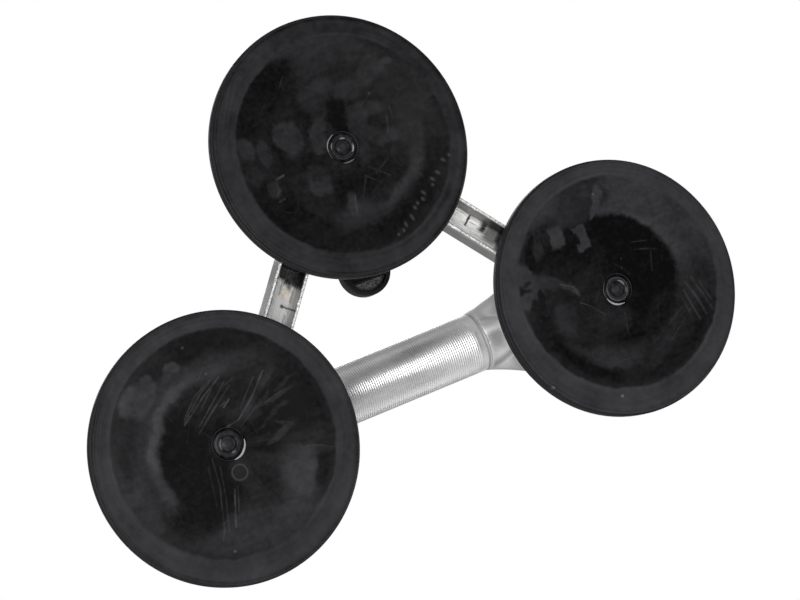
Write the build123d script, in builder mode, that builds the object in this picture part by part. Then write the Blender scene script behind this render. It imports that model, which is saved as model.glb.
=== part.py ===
from build123d import *
from math import cos, pi, sin, tan
import os

os.makedirs("parts", exist_ok=True)

# Three-cup hand suction lifter. The origin is the middle of its outline on the sealing plane.
# +X runs along the handle, +Y points to the front head, and +Z points away from the glass.

# Layout of the heads
head_spacing = 200.0  # between the two heads under the handle
front_offset = 105.5  # from the handle's line to the front head
handle_y = -front_offset / 2

# Rubber pad
pad_radius = 60.0
pad_thickness = 7.0
pad_chamfer = 0.6
seal_inner_radius = 50.0
seal_outer_radius = 58.6
seal_chamfer = 0.4
groove_bottom = 1.6
groove_top = 2.2
dish_depth = 1.7
dish_shoulder_radius = 30.0  # inside this the dish is nearly flat
dish_foot_radius = 42.0  # outside this it runs into the sealing band
dimple_radius = 3.7
dimple_depth = 0.8
button_radius = 5.3
button_crown = 0.4
moat_radius = 6.8
moat_depth = 0.8
hub_radius = 22.0
hub_height = 2.0
hub_taper = 2.0
web_inner_radius = 34.0  # the web rises with the stud between these two
web_outer_radius = 38.0
web_end_radius = 50.0

# Bell of each head
bell_radius = 57.5
bell_rim_top = 9.2
bell_chamfer = 1.0
shoulder_radius = 25.5
shoulder_height = 20.5
boss_radius = 17.5
boss_base_height = 22.0
boss_flare = 1.5
boss_chamfer = 1.0
boss_top = 24.0
bell_hollow_radius = 54.0
hollow_rim_top = 8.8
chamber_radius = 23.0
chamber_top = 20.0
chamber_fillet = 1.4
bush_hole_radius = 8.0

# Pull stud, pin and their travel
stud_travel = 3.0
plate_radius = 20.0
plate_thickness = 2.0
stem_radius = 5.0
stem_above_pin = 5.5
stem_chamfer = 1.5
small_chamfer = 0.4
pin_radius = 2.5
pin_length = 23.0
pin_height_released = 33.5
running_gap = 0.06

# Guide bush, wear plate and spring
bush_flange_radius = 12.0
bush_flange_thickness = 1.6
wear_plate_radius = 12.0
wear_plate_thickness = 2.0
wear_plate_gap = 0.4
spring_radius = 9.0
spring_wire_radius = 0.6
spring_turns = 2.5
seat_gap = 0.05

# Cam lever, measured from its pin
lever_tip_centre = 55.0
lever_tip_radius = 11.9
lever_root_half_width = 10.6
lever_root_length = 8.0
lever_top = 9.2
lever_top_start = 2.0
lever_tip_top = 6.5
lever_underside = -1.5
lever_underside_start = 12.0
lever_heel = (7.0, -5.5)
lever_brow = (-4.9, 7.2)
lever_brow_height = 3.0
lever_edge_chamfer = 1.2
lever_edge_start = 20.0
lever_wall = 2.2
slot_half_width = 5.5
slot_reach = 20.0
stem_clearance = 7.0
tip_rib_x = 58.6
tip_rib_width = 1.1
pocket_start = 15.0
pocket_root_half_width = 8.0
pocket_tip_half_width = 8.4
pocket_depth = 5.2
tip_pocket_depth = 2.0
cam_gap = 0.15
cam_points = 7

# Arms
arm_half_width = 7.2  # at its underside
arm_draft = 3.0  # degrees
arm_wall = 1.5
arm_roof = 2.0
arm_edge_radius = 2.5
channel_start = 54.0  # along the arm, from its front end
channel_end = 85.2
arm_bottom = 8.5
arm_top = 21.5
arm_front_x = 5.0
arm_rear_x = 89.5

# Handle
grip_height = 62.0
grip_half_length = 48.0
grip_radius = 14.3
rib_depth = 0.35
rib_count = 86
bead_radius = 14.75
bead_width = 1.2
tube_end_radius = 10.0
tube_bore_radius = 8.0
tube_end_length = 10.0
socket_end_gap = 0.5
# Sections of a leg, from the grip down to the bell: distance from the middle, shift across the
# handle, height, tilt in degrees, half width and half depth
leg_sections = [
    (grip_half_length, 0.0, grip_height, 0, 14.7, 14.7),
    (60, -1.05, 60.5, 16, 18.6, 13.5),
    (70.5, -2.5, 46, 62, 25.0, 10.0),
    (73.5, -1.0, 16, 86, 28.0, 8.0),
]

wear_plate_top = boss_top + wear_plate_thickness
cam_released = pin_height_released - wear_plate_top
cam_rise = stud_travel / (pi / 2)

# Each head: its centre, the direction its lever folds to, and whether it is locked at rest
right = {"name": "right", "x": head_spacing / 2, "y": handle_y, "fold": (1, 0), "locked": False}
left = {"name": "left", "x": -head_spacing / 2, "y": handle_y, "fold": (-1, 0), "locked": False}
front = {"name": "front", "x": 0, "y": handle_y + front_offset, "fold": (0, -1), "locked": True}
heads = [right, left, front]


def section_plane(head):
    """Upright plane through a head's centre: x is the distance from its axis and y the height."""
    return Plane(origin=(head["x"], head["y"], 0), x_dir=(1, 0, 0), z_dir=(0, -1, 0))


def head_axis(head):
    """Vertical axis of a head."""
    return Axis((head["x"], head["y"], 0), (0, 0, 1))


def lift(head):
    """How far the stud is pulled up at rest."""
    return stud_travel if head["locked"] else 0.0


def pin_plane(head):
    """Plane across the pin at rest: x points away from the pin along the lever's arm and y to its
    top, so the plane's normal is the pin's direction."""
    fold = Vector(head["fold"][0], head["fold"][1], 0)
    up = Vector(0, 0, 1)
    arm = fold if head["locked"] else up
    top = up if head["locked"] else -fold
    origin = (head["x"], head["y"], pin_height_released + lift(head))
    return Plane(origin=origin, x_dir=arm, z_dir=arm.cross(top))


def finish(piece, name):
    """Name a finished piece and write it."""
    piece.label = name
    export_step(piece, f"parts/{name}.step")


def suction_pad(head):
    """Rubber pad: sealing band, shallow dish with a centre button, and a hub for the stud's plate."""
    up = lift(head)
    dish = dish_depth + up
    top = pad_thickness + hub_height + up
    edge_radius = seal_outer_radius + seal_chamfer
    with BuildPart() as pad:
        with BuildSketch(section_plane(head)):
            with BuildLine():
                Polyline(
                    (0, top),
                    (0, dish + dimple_depth),
                    (dimple_radius, dish + dimple_depth),
                    (dimple_radius + button_crown, dish - button_crown),
                    (button_radius, dish - button_crown),
                    (button_radius + button_crown, dish + moat_depth),
                    (moat_radius, dish + moat_depth),
                    (moat_radius + button_crown, dish),
                )
                Bezier(
                    (moat_radius + button_crown, dish),
                    (dish_shoulder_radius, dish),
                    (dish_foot_radius, 0),
                    (seal_inner_radius, 0),
                )
                Polyline(
                    (seal_inner_radius, 0),
                    (seal_outer_radius, 0),
                    (edge_radius, seal_chamfer),
                    (edge_radius, groove_bottom),
                    (seal_outer_radius, groove_bottom),
                    (seal_outer_radius, groove_top),
                    (pad_radius, groove_top),
                    (pad_radius, pad_thickness - pad_chamfer),
                    (pad_radius - pad_chamfer, pad_thickness),
                    (web_end_radius, pad_thickness),
                )
                Bezier(
                    (web_end_radius, pad_thickness),
                    (web_outer_radius, pad_thickness),
                    (web_inner_radius, pad_thickness + up),
                    (hub_radius + hub_taper, pad_thickness + up),
                )
                Polyline(
                    (hub_radius + hub_taper, pad_thickness + up),
                    (hub_radius, top),
                    (0, top),
                )
            make_face()
        revolve(axis=head_axis(head))
    finish(pad.part, "suction_pad_" + head["name"])


def pull_stud(head):
    """Steel plate with a stem, and a cross hole that the pivot pin is pressed into."""
    plate_bottom = pad_thickness + hub_height + lift(head)
    stem_top = pin_height_released + stem_above_pin + lift(head)
    with BuildPart() as stud:
        with BuildSketch(Plane.XY.offset(plate_bottom)):
            with Locations((head["x"], head["y"])):
                Circle(plate_radius)
        extrude(amount=plate_thickness)
        with BuildSketch(Plane.XY.offset(plate_bottom + plate_thickness)):
            with Locations((head["x"], head["y"])):
                Circle(stem_radius)
        extrude(amount=stem_top - plate_bottom - plate_thickness)
        chamfer(stud.faces().sort_by(Axis.Z)[-1].edges(), stem_chamfer)
        chamfer(stud.faces().filter_by(Axis.Z).sort_by(Axis.Z)[1].outer_wire().edges(), small_chamfer)
        with BuildSketch(pin_plane(head)):
            Circle(pin_radius)
        extrude(amount=plate_radius, both=True, mode=Mode.SUBTRACT)
    finish(stud.part, "pull_stud_" + head["name"])


def return_spring(head):
    """Compression spring between the guide bush's flange and the stud's plate."""
    low = pad_thickness + hub_height + lift(head) + plate_thickness + spring_wire_radius + seat_gap
    high = chamber_top - bush_flange_thickness - spring_wire_radius - seat_gap
    with BuildPart() as spring:
        with BuildLine() as coil:
            Helix(
                pitch=(high - low) / spring_turns,
                height=high - low,
                radius=spring_radius,
                center=(head["x"], head["y"], low),
            )
        with BuildSketch(Plane(origin=coil.line @ 0, z_dir=coil.line % 0)):
            Circle(spring_wire_radius)
        sweep(is_frenet=True)
    finish(spring.part, "return_spring_" + head["name"])


def guide_bush(head):
    """Plastic bush with a flange, in the bell's centre hole."""
    with BuildPart() as bush:
        with BuildSketch(Plane.XY.offset(chamber_top - bush_flange_thickness)):
            with Locations((head["x"], head["y"])):
                Circle(bush_flange_radius)
        extrude(amount=bush_flange_thickness)
        with BuildSketch(Plane.XY.offset(chamber_top)):
            with Locations((head["x"], head["y"])):
                Circle(bush_hole_radius - seat_gap)
        extrude(amount=boss_top - chamber_top)
        with Locations((head["x"], head["y"], boss_top)):
            Hole(stem_radius + running_gap)
    finish(bush.part, "guide_bush_" + head["name"])


def wear_plate(head):
    """Plastic plate on the boss, under the cams."""
    with BuildPart() as plate:
        with BuildSketch(Plane.XY.offset(boss_top)):
            with Locations((head["x"], head["y"])):
                Circle(wear_plate_radius)
                Circle(stem_radius + wear_plate_gap, mode=Mode.SUBTRACT)
        extrude(amount=wear_plate_thickness)
        chamfer(plate.faces().sort_by(Axis.Z)[-1].outer_wire().edges(), small_chamfer)
    finish(plate.part, "wear_plate_" + head["name"])


def pivot_pin(head):
    """Steel pin with chamfered ends."""
    with BuildPart() as pin:
        with BuildSketch(pin_plane(head)):
            Circle(pin_radius)
        extrude(amount=pin_length / 2, both=True)
        chamfer(pin.edges().filter_by(GeomType.CIRCLE), small_chamfer)
    finish(pin.part, "pivot_pin_" + head["name"])


def cam_outline():
    """Points of the cam, whose distance to a plate grows evenly as the lever folds flat."""
    points = []
    for step in range(cam_points):
        turned = step / (cam_points - 1) * pi / 2
        reach = cam_released - cam_gap + cam_rise * turned
        along = pi + turned
        points.append(
            (
                reach * cos(along) - cam_rise * sin(along),
                reach * sin(along) + cam_rise * cos(along),
            )
        )
    return points


def cam_lever(head):
    """Plastic lever: two cam cheeks astride the stem, and an arm that is hollow underneath."""
    side = pin_plane(head)
    plan = Plane(origin=side.origin, x_dir=side.x_dir, z_dir=side.y_dir)
    cam = cam_outline()
    tip_end = lever_tip_centre + lever_tip_radius
    brow_foot = (cam[0][0], lever_brow_height)
    with BuildPart() as lever:
        with BuildSketch(side):
            with BuildLine():
                Spline(*cam)
                Polyline(
                    cam[-1],
                    lever_heel,
                    (lever_underside_start, lever_underside),
                    (tip_end, lever_underside),
                    (tip_end, lever_tip_top),
                    (lever_top_start, lever_top),
                )
                ThreePointArc((lever_top_start, lever_top), lever_brow, brow_foot)
                Line(brow_foot, cam[0])
            make_face()
        extrude(amount=lever_tip_radius + 1, both=True)
        with BuildSketch(plan.offset(-lever_tip_radius)):
            with BuildLine():
                Polyline(
                    (lever_tip_centre, lever_tip_radius),
                    (lever_root_length, lever_root_half_width),
                    (-slot_reach, lever_root_half_width),
                    (-slot_reach, -lever_root_half_width),
                    (lever_root_length, -lever_root_half_width),
                    (lever_tip_centre, -lever_tip_radius),
                )
                ThreePointArc(
                    (lever_tip_centre, -lever_tip_radius),
                    (tip_end, 0),
                    (lever_tip_centre, lever_tip_radius),
                )
            make_face()
        extrude(amount=2 * lever_tip_radius, mode=Mode.INTERSECT)
        high_edges = lever.edges().filter_by(lambda e: side.to_local_coords(e.center()).Y > lever_tip_top - 2)
        arm_edges = high_edges.filter_by(lambda e: side.to_local_coords(e.center()).X > lever_edge_start)
        chamfer(arm_edges, lever_edge_chamfer)
        # main pocket, up to the rib near the tip
        with BuildSketch(plan.offset(lever_underside)):
            with BuildLine():
                Polyline(
                    (tip_rib_x, -pocket_tip_half_width),
                    (pocket_start, -pocket_root_half_width),
                    (pocket_start, pocket_root_half_width),
                    (tip_rib_x, pocket_tip_half_width),
                    (tip_rib_x, -pocket_tip_half_width),
                )
            make_face()
        extrude(amount=pocket_depth, mode=Mode.SUBTRACT)
        # shallow pocket between the rib and the tip's rim
        with BuildSketch(plan.offset(lever_underside)):
            with Locations((lever_tip_centre, 0)):
                Circle(lever_tip_radius - lever_wall)
            with Locations((tip_rib_x + tip_rib_width - lever_tip_centre, 0)):
                Rectangle(2 * lever_tip_centre, 2 * lever_tip_centre, mode=Mode.SUBTRACT)
        extrude(amount=tip_pocket_depth, mode=Mode.SUBTRACT)
        # slot for the stem, open to the cams' side
        with BuildSketch(side):
            Circle(stem_clearance)
            with Locations((-slot_reach / 2, (stem_clearance - slot_reach) / 2)):
                Rectangle(slot_reach, slot_reach + stem_clearance)
            with Locations((stem_clearance / 2, -slot_reach / 2)):
                Rectangle(stem_clearance, slot_reach)
        extrude(amount=slot_half_width, both=True, mode=Mode.SUBTRACT)
        with BuildSketch(side):
            Circle(pin_radius + running_gap)
        extrude(amount=pin_length, both=True, mode=Mode.SUBTRACT)
    finish(lever.part, "cam_lever_" + head["name"])


def frame_casting():
    """Three bells, two arms and the handle's two legs, in one casting."""
    arm_top_half_width = arm_half_width + (arm_top - arm_bottom) * tan(arm_draft * pi / 180)
    arm_length = (Vector(arm_front_x, front["y"], 0) - Vector(arm_rear_x, handle_y, 0)).length
    with BuildPart() as frame:
        for head in heads:
            with BuildSketch(section_plane(head)):
                with BuildLine():
                    Polyline(
                        (0, pad_thickness),
                        (bell_radius, pad_thickness),
                        (bell_radius, bell_rim_top),
                        (bell_radius - bell_chamfer, bell_rim_top + bell_chamfer),
                        (shoulder_radius, shoulder_height),
                        (boss_radius + boss_flare, boss_base_height),
                        (boss_radius, boss_top - boss_chamfer),
                        (boss_radius - boss_chamfer, boss_top),
                        (0, boss_top),
                        (0, pad_thickness),
                    )
                make_face()
            revolve(axis=head_axis(head))
        for side in (1, -1):
            start = Vector(side * arm_front_x, front["y"], 0)
            along = (Vector(side * arm_rear_x, handle_y, 0) - start).normalized()
            across = Plane(
                origin=start + Vector(0, 0, arm_bottom),
                x_dir=Vector(0, 0, 1).cross(along),
                z_dir=along,
            )
            with BuildSketch(across):
                outline = Polygon(
                    (-arm_half_width, 0),
                    (arm_half_width, 0),
                    (arm_top_half_width, arm_top - arm_bottom),
                    (-arm_top_half_width, arm_top - arm_bottom),
                    align=None,
                )
                fillet(outline.vertices().sort_by(Axis.Y)[-2:], arm_edge_radius)
            extrude(amount=arm_length)
            under = Plane(origin=start + Vector(0, 0, arm_bottom), x_dir=along, z_dir=(0, 0, 1))
            with BuildSketch(under):
                with Locations(((channel_start + channel_end) / 2, 0)):
                    Rectangle(channel_end - channel_start, 2 * (arm_half_width - arm_wall))
            extrude(amount=arm_top - arm_roof - arm_bottom, mode=Mode.SUBTRACT)
        for side in (1, -1):
            for out, shift, height, tilt, half_width, half_depth in leg_sections:
                normal = (side * cos(tilt * pi / 180), 0, -sin(tilt * pi / 180))
                origin = (side * out, handle_y + shift, height)
                with BuildSketch(Plane(origin=origin, x_dir=(0, 1, 0), z_dir=normal)):
                    Ellipse(half_width, half_depth)
            loft()
        for head in heads:
            with BuildSketch(section_plane(head)):
                with BuildLine():
                    Polyline(
                        (0, 0),
                        (bell_hollow_radius, 0),
                        (bell_hollow_radius, hollow_rim_top),
                        (chamber_radius, chamber_top - chamber_fillet),
                        (chamber_radius - 1, chamber_top),
                        (bush_hole_radius, chamber_top),
                        (bush_hole_radius, 2 * boss_top),
                        (0, 2 * boss_top),
                        (0, 0),
                    )
                make_face()
            revolve(axis=head_axis(head), mode=Mode.SUBTRACT)
        socket_end = grip_half_length + tube_end_length + socket_end_gap
        with BuildSketch(Plane.YZ.offset(-socket_end)):
            with Locations((handle_y, grip_height)):
                Circle(tube_end_radius + seat_gap)
        extrude(amount=2 * socket_end, mode=Mode.SUBTRACT)
    finish(frame.part, "frame_casting")


def grip_tube():
    """Ribbed grip with an end bead at each side, and plain ends that sit in the legs."""
    bead_start = grip_half_length - bead_width
    pitch = 2 * bead_start / rib_count
    reach = grip_half_length + tube_end_length
    wave = []
    for rib in range(rib_count):
        low = -bead_start + rib * pitch
        wave.append((low, grip_radius - rib_depth))
        wave.append((low + pitch / 2, grip_radius))
    wave.append((bead_start, grip_radius - rib_depth))
    with BuildPart() as tube:
        with BuildSketch(Plane(origin=(0, handle_y, grip_height), x_dir=(1, 0, 0), z_dir=(0, -1, 0))):
            with BuildLine():
                Polyline(
                    *wave,
                    (bead_start, bead_radius),
                    (grip_half_length - seat_gap, bead_radius),
                    (grip_half_length - seat_gap, tube_end_radius),
                    (reach, tube_end_radius),
                    (reach, tube_bore_radius),
                    (-reach, tube_bore_radius),
                    (-reach, tube_end_radius),
                    (seat_gap - grip_half_length, tube_end_radius),
                    (seat_gap - grip_half_length, bead_radius),
                    (-bead_start, bead_radius),
                    wave[0],
                )
            make_face()
        revolve(axis=Axis((0, handle_y, grip_height), (1, 0, 0)))
    finish(tube.part, "grip_tube")


frame_casting()
grip_tube()
for head in heads:
    suction_pad(head)
    pull_stud(head)
    return_spring(head)
    guide_bush(head)
    wear_plate(head)
    pivot_pin(head)
    cam_lever(head)
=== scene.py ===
"""The looks of a three-cup hand suction lifter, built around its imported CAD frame."""

import math

import bmesh
import bpy
import numpy as np
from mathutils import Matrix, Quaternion, Vector


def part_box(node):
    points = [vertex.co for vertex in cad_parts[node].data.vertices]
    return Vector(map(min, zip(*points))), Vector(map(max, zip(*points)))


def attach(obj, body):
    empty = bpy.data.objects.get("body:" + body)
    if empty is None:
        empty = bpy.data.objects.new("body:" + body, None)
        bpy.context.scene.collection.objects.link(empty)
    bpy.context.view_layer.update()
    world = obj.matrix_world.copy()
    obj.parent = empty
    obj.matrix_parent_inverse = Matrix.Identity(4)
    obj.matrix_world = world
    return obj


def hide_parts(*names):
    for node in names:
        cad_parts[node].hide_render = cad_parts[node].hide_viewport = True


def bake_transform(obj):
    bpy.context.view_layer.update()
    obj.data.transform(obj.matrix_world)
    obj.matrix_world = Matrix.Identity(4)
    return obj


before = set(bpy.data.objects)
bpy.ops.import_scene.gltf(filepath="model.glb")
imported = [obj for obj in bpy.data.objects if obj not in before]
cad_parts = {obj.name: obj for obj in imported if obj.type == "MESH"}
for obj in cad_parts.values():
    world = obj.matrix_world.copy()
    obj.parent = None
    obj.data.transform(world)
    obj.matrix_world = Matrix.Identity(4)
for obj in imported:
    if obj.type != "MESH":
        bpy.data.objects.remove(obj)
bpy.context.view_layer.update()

MM = 0.001
HEADS = ("right", "left", "front")
X_AXIS, Y_AXIS, Z_AXIS = (1, 0, 0), (0, 1, 0), (0, 0, 1)


# ---------------------------------------------------------------- places read from the frame

def box_mm(node):
    """A node's lowest and highest corner, in millimetres."""
    low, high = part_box(node)
    return np.array(low) / MM, np.array(high) / MM


def head_centre(head):
    """Centre of a head on the sealing plane, in millimetres."""
    low, high = box_mm("suction_pad_" + head)
    return (low + high)[:2] / 2


CENTRE = {head: head_centre(head) for head in HEADS}
PAD_RADIUS = (box_mm("suction_pad_right")[1] - box_mm("suction_pad_right")[0])[1] / 2
STUD_TOP = {head: box_mm("pull_stud_" + head)[1][2] for head in HEADS}
LIFT = {head: STUD_TOP[head] - min(STUD_TOP.values()) for head in HEADS}
GRIP_LOW, GRIP_HIGH = box_mm("grip_tube")
GRIP_Y = (GRIP_LOW[1] + GRIP_HIGH[1]) / 2
GRIP_Z = (GRIP_LOW[2] + GRIP_HIGH[2]) / 2
# The arms, as part.py makes them, and how their channels are marked. 1 is the arm towards +X.
ARM_FRONT_X = 5.0
ARM_REAR_X = 89.5
ARM_BOTTOM = 8.5
ARM_ROOF = 19.5
CHANNEL_HALF = 5.7
ARM_HALF = 7.2
# The stretch of an arm that shows between two pads, measured from its front end.
SHOWN_START, SHOWN_END = 50, 92
# How stains lean with depth, along the arm and across it, then how strong the other marks are, among them
# the painted shade on the walls, and how deep the painted light on the floor reaches.
STAIN_SLANT = {1: (-0.21, 0.21), -1: (0.22, -0.34)}
STREAKED = {1: 0.80, -1: 1.0}
RAGGED = {1: 0.9, -1: 0.4}
WALL_SHADE = {1: 0.0, -1: 0.55}
LIT_FLOOR_DEPTH = {1: 9.5, -1: 2.2}


def arm_axes(side):
    """An arm's front end, its direction, and the direction across it, away from the outer side for
    the right arm and towards the grip for the left one."""
    start = np.array([side * ARM_FRONT_X, CENTRE["front"][1], 0.0])
    end = np.array([side * ARM_REAR_X, CENTRE["right"][1], 0.0])
    direction = (end - start) / np.linalg.norm(end - start)
    normal = side * np.array([direction[1], -direction[0], 0.0])
    return start, direction, normal


# ---------------------------------------------------------------- noise, in numpy

def value_noise(points, cell, seed):
    """Smooth noise from 0 to 1 at 2-D or 3-D points, with one lattice value for each cell."""
    rng = np.random.default_rng(seed)
    size = 64
    lattice = rng.random((size,) * points.shape[1])
    scaled = points / cell
    base = np.floor(scaled).astype(int)
    part = scaled - base
    part = part * part * (3 - 2 * part)
    total = np.zeros(len(points))
    dims = points.shape[1]
    for corner in range(2 ** dims):
        bits = [(corner >> axis) & 1 for axis in range(dims)]
        weight = np.ones(len(points))
        index = []
        for axis, bit in enumerate(bits):
            weight *= part[:, axis] if bit else 1 - part[:, axis]
            index.append((base[:, axis] + bit) % size)
        total += weight * lattice[tuple(index)]
    return total


def fractal(points, cell, seed, octaves=4):
    """Several octaves of value noise, from 0 to 1."""
    total, weight, scale = np.zeros(len(points)), 0.0, 1.0
    for octave in range(octaves):
        total += scale * value_noise(points, cell * scale, seed + octave)
        weight += scale
        scale /= 2
    return total / weight


def smooth(low, high, value):
    """0 below low, 1 above high, and a smooth step between."""
    t = np.clip((value - low) / (high - low), 0, 1)
    return t * t * (3 - 2 * t)


# ---------------------------------------------------------------- meshes

def mesh_object(name, points, faces):
    """A mesh object from millimetre points, shaded smooth."""
    mesh = bpy.data.meshes.new(name)
    mesh.from_pydata((np.asarray(points) * MM).tolist(), [], faces)
    mesh.validate()
    mesh.shade_smooth()
    thing = bpy.data.objects.new(name, mesh)
    bpy.context.scene.collection.objects.link(thing)
    return thing


def rounded(points, radius, steps=4):
    """An outline with each inner corner replaced by a small arc."""
    points = [np.array(p, float) for p in points]
    out = [points[0]]
    for before, corner, after in zip(points, points[1:], points[2:]):
        a, b = before - corner, after - corner
        la, lb = np.linalg.norm(a), np.linalg.norm(b)
        if la < 1e-9 or lb < 1e-9 or abs(np.dot(a, b) / la / lb) > 0.999:
            out.append(corner)
            continue
        cut = min(radius, 0.45 * la, 0.45 * lb)
        start, end = corner + a / la * cut, corner + b / lb * cut
        for step in range(steps + 1):
            t = step / steps
            out.append((1 - t) ** 2 * start + 2 * t * (1 - t) * corner + t * t * end)
    out.append(points[-1])
    return np.array(out)


def divided(points, longest):
    """An outline with no step longer than a limit."""
    out = [points[0]]
    for start, end in zip(points, points[1:]):
        count = max(1, int(math.ceil(np.linalg.norm(end - start) / longest)))
        for step in range(1, count + 1):
            out.append(start + (end - start) * step / count)
    return np.array(out)


def lathe(name, outline, origin, axis, segments):
    """A closed outline of (radius, height) turned round an axis: "z" or "x". An end on the axis
    becomes one pole."""
    outline = np.asarray(outline, float)
    poles = [k for k in (0, len(outline) - 1) if outline[k][0] < 1e-6]
    rings = [k for k in range(len(outline)) if k not in poles]
    angles = np.arange(segments) / segments * 2 * math.pi
    points, start = [], {}
    for k in range(len(outline)):
        radius, height = outline[k]
        start[k] = len(points)
        turn = angles if k in rings else [0.0]
        for angle in turn:
            around = (radius * math.cos(angle), radius * math.sin(angle))
            if axis == "z":
                points.append((origin[0] + around[0], origin[1] + around[1], origin[2] + height))
            else:
                points.append((origin[0] + height, origin[1] + around[0], origin[2] + around[1]))
    faces = []
    loop = list(zip(range(len(outline)), range(1, len(outline))))
    if not poles:
        loop.append((len(outline) - 1, 0))
    for k, after in loop:
        for s in range(segments):
            t = (s + 1) % segments
            if k in poles:
                faces.append((start[k], start[after] + s, start[after] + t))
            elif after in poles:
                faces.append((start[k] + s, start[after], start[k] + t))
            else:
                faces.append((start[k] + s, start[after] + s, start[after] + t, start[k] + t))
    thing = mesh_object(name, points, faces)
    outward(thing)
    return thing


def outward(thing):
    """Turns a closed mesh's faces outward."""
    mesh = thing.data
    mesh.calc_loop_triangles()
    co = np.empty(len(mesh.vertices) * 3)
    mesh.vertices.foreach_get("co", co)
    co = co.reshape(-1, 3)
    tri = np.empty(len(mesh.loop_triangles) * 3, int)
    mesh.loop_triangles.foreach_get("vertices", tri)
    a, b, c = (co[tri.reshape(-1, 3)[:, k]] for k in range(3))
    if np.einsum("ij,ij->i", a, np.cross(b, c)).sum() < 0:
        mesh.flip_normals()


def points_of(thing):
    """A mesh's points in millimetres."""
    co = np.empty(len(thing.data.vertices) * 3)
    thing.data.vertices.foreach_get("co", co)
    return co.reshape(-1, 3) / MM


def set_points(thing, points):
    """Writes millimetre points back to a mesh."""
    thing.data.vertices.foreach_set("co", (points * MM).ravel())
    thing.data.update()


def paint(thing, name, values):
    """Keeps one number for each point, which the material reads."""
    layer = thing.data.attributes.new(name, "FLOAT", "POINT")
    layer.data.foreach_set("value", np.asarray(values, np.float32))


def sharpen(thing, angle):
    """Keeps edges crisp where faces meet at more than an angle."""
    thing.data.set_sharp_from_angle(angle=math.radians(angle))


def with_modifiers(name, node, *steps):
    """A new piece from a copy of a CAD node's mesh, changed by modifiers."""
    thing = bpy.data.objects.new(name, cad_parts[node].data.copy())
    thing.data.materials.clear()
    bpy.context.scene.collection.objects.link(thing)
    for kind, settings in steps:
        modifier = thing.modifiers.new(kind, kind)
        for key, value in settings.items():
            setattr(modifier, key, value)
    depsgraph = bpy.context.evaluated_depsgraph_get()
    made = bpy.data.meshes.new_from_object(thing.evaluated_get(depsgraph))
    thing.modifiers.clear()
    old = thing.data
    thing.data = made
    bpy.data.meshes.remove(old)
    made.name = name
    made.shade_smooth()
    return thing


# ---------------------------------------------------------------- materials

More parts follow.
